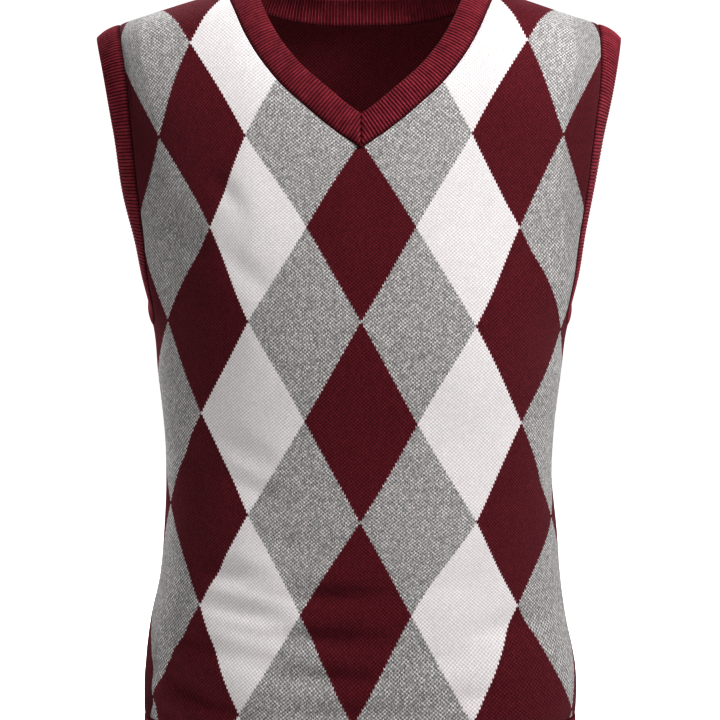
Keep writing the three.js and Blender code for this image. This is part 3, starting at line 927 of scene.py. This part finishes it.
def make_armhole_band(side, column, outwards):
    """A band from the underarm up the front, over the shoulder and down the back."""
    base = front_layer["underarm"]
    armhole_seam = join_edges(
        seam_line(edge_of(front_layer, base, column), edge_of(back_layer, base, column)),
        edge_of(front_layer, slice(base + 1, -1), column),
        seam_line(edge_of(front_layer, -1, column), edge_of(back_layer, -1, column)),
        edge_of(back_layer, slice(-2, base, -1), column),
    )
    if side == "right":
        armhole_seam = {key: grid[::-1] for key, grid in armhole_seam.items()}
    line = stations(armhole_seam, True)
    line["places"] = line["places"] - line["in_panel"] * BAND_TUCK
    lean = read(ARMHOLE_LEAN, "height", side, line["places"][:, 2])
    tangent = line["tangent"]
    inwards = unit(np.stack((0 * lean, -tangent[:, 2], tangent[:, 1]), axis=-1))
    to_centre = ARMHOLE_CENTRE - line["places"]
    inwards = inwards * np.sign(np.sum(inwards * to_centre, axis=1))[:, None]
    across = inwards * np.sqrt(1 - lean**2)[:, None]
    across[:, 0] = outwards * lean
    width = np.full(len(lean), float(ARMHOLE_BAND_WIDTH))
    band = make_band("armhole_rib_" + side, line, across, width, band_profile, True)
    finish_band(band, "armhole_band_" + side)


make_armhole_band("left", 0, -1)
make_armhole_band("right", -1, 1)

# Hem ribs. A deeper strip of the same rib below each panel, linked to it on a level seam and
# joined at the sides. They draw the hem in a little.
HEM_SWELL = 0.6
HEM_DIP_REACH = 0.04


def hem_profile(reach):
    """How far the hem rib stands out between its seam and its edge."""
    return HEM_SWELL * np.sin(math.pi * reach) - seam_dip(reach, HEM_DIP_REACH)


def make_hem_rib(side, layer):
    """A straight strip of rib that hangs from a panel's lower edge."""
    low_angle = layer["angle"][0]
    hem = body_place(side, low_angle, np.full(len(low_angle), float(HEM_HEIGHT)))
    seam = edge_of(layer, 0, slice(None))
    order = slice(None, None, -1) if side == "front" else slice(None)
    line = stations({key: grid[order] for key, grid in seam.items()}, False)
    share = line["ribs"] / line["ribs"][-1]
    hem = hem[order]
    run = np.concatenate(((0,), np.cumsum(np.linalg.norm(np.diff(hem, axis=0), axis=1))))
    edge = np.stack([np.interp(share * run[-1], run, hem[:, i]) for i in range(3)], axis=-1)
    line["places"] = line["places"] + UP * BAND_TUCK
    fall = edge - line["places"]
    width = np.linalg.norm(fall, axis=1)
    band = make_band("hem_rib_" + side + "_knit", line, unit(fall), width, hem_profile)
    finish_band(band, "hem_rib_" + side)


make_hem_rib("front", front_layer)
make_hem_rib("back", back_layer)

# Studio: a plain pale floor in pale air, a soft lamp high on the right, weaker ones on the left,
# behind and in the hollow of the vest, and the camera at chest height, two metres in front.
FLOOR_HEIGHT = -0.684
FLOOR_REACH = 8
CAMERA_PLACE = (-0.0008, -2.1, -0.225)
CAMERA_PITCH = math.radians(-2.46)
CAMERA_LENS = 121.95
LIGHTING_AIR = 0.05
SEEN_AIR = 0.62
FLOOR_GLOW = 0.56
FLOOR_PAINT = (0.86, 0.86, 0.86, 1)
FLOOR_ROUGHNESS = 0.9
WHITE = (1, 1, 1, 1)


def make_floor():
    """A flat floor that looks as pale as the air behind it, so that no edge shows."""
    floor = bmesh.new()
    bmesh.ops.create_grid(floor, x_segments=1, y_segments=1, size=FLOOR_REACH)
    for vert in floor.verts:
        vert.co.z = FLOOR_HEIGHT
    mesh = bpy.data.meshes.new("studio_floor")
    floor.to_mesh(mesh)
    floor.free()
    stage = bpy.data.objects.new("studio_floor", mesh)
    bpy.context.scene.collection.objects.link(stage)
    paint = bpy.data.materials.new("studio_paint")
    paint.use_nodes = True
    shader = paint.node_tree.nodes["Principled BSDF"]
    shader.inputs["Base Color"].default_value = FLOOR_PAINT
    shader.inputs["Roughness"].default_value = FLOOR_ROUGHNESS
    shader.inputs["Emission Color"].default_value = WHITE
    seen = paint.node_tree.nodes.new("ShaderNodeLightPath").outputs["Is Camera Ray"]
    glow = calc(paint.node_tree, "MULTIPLY", seen, FLOOR_GLOW)
    paint.node_tree.links.new(glow, shader.inputs["Emission Strength"])
    mesh.materials.append(paint)
    return stage


make_floor()

# Soft square lamps: where each stands and aims, its size, all in metres, and its power in watts.
LAMPS = {
    "key_lamp": {"place": (1.05, -0.7, 0.72), "aim": (0, 0, 0.1), "size": 0.35, "power": 22.5},
    "fill_lamp": {"place": (-0.7, -0.9, 0.9), "aim": (0, 0, 0), "size": 0.4, "power": 6.8},
    "side_lamp": {"place": (-1.6, -0.1, 0.4), "aim": (0, 0, -0.2), "size": 0.6, "power": 2.5},
    "back_lamp": {"place": (-0.95, 0.95, 0.8), "aim": (0, 0, -0.1), "size": 0.4, "power": 22},
    "back_fill_lamp": {"place": (0.9, 1.1, 0.6), "aim": (0, 0, -0.1), "size": 0.5, "power": 6},
    "inside_lamp": {"place": (0, -0.02, -0.3), "aim": (0, 0.09, -0.06), "size": 0.1, "power": 0.25},
}


def add_lamp(name, place, aim, size, power):
    """A square lamp that the camera does not see."""
    data = bpy.data.lights.new(name, "AREA")
    data.size = size
    data.energy = power
    lamp = bpy.data.objects.new(name, data)
    bpy.context.scene.collection.objects.link(lamp)
    lamp.location = place
    way = lamp.location - type(lamp.location)(aim)
    lamp.rotation_euler = way.to_track_quat("Z", "Y").to_euler()
    lamp.visible_camera = False


for lamp_name, lamp_row in LAMPS.items():
    add_lamp(lamp_name, **lamp_row)

world = bpy.data.worlds.new("studio_air")
world.use_nodes = True
background = world.node_tree.nodes["Background"]
background.inputs["Color"].default_value = WHITE
seen = world.node_tree.nodes.new("ShaderNodeLightPath").outputs["Is Camera Ray"]
strength = calc(world.node_tree, "MULTIPLY_ADD", seen, SEEN_AIR - LIGHTING_AIR, LIGHTING_AIR)
world.node_tree.links.new(strength, background.inputs["Strength"])
bpy.context.scene.world = world
bpy.context.scene.view_settings.view_transform = "Standard"
bpy.context.scene.view_settings.look = "Very High Contrast"

camera_data = bpy.data.cameras.new("camera")
camera_data.lens = CAMERA_LENS
camera = bpy.data.objects.new("camera", camera_data)
bpy.context.scene.collection.objects.link(camera)
camera.location = CAMERA_PLACE
camera.rotation_euler = (QUARTER_TURN + CAMERA_PITCH, 0, 0)
bpy.context.scene.camera = camera
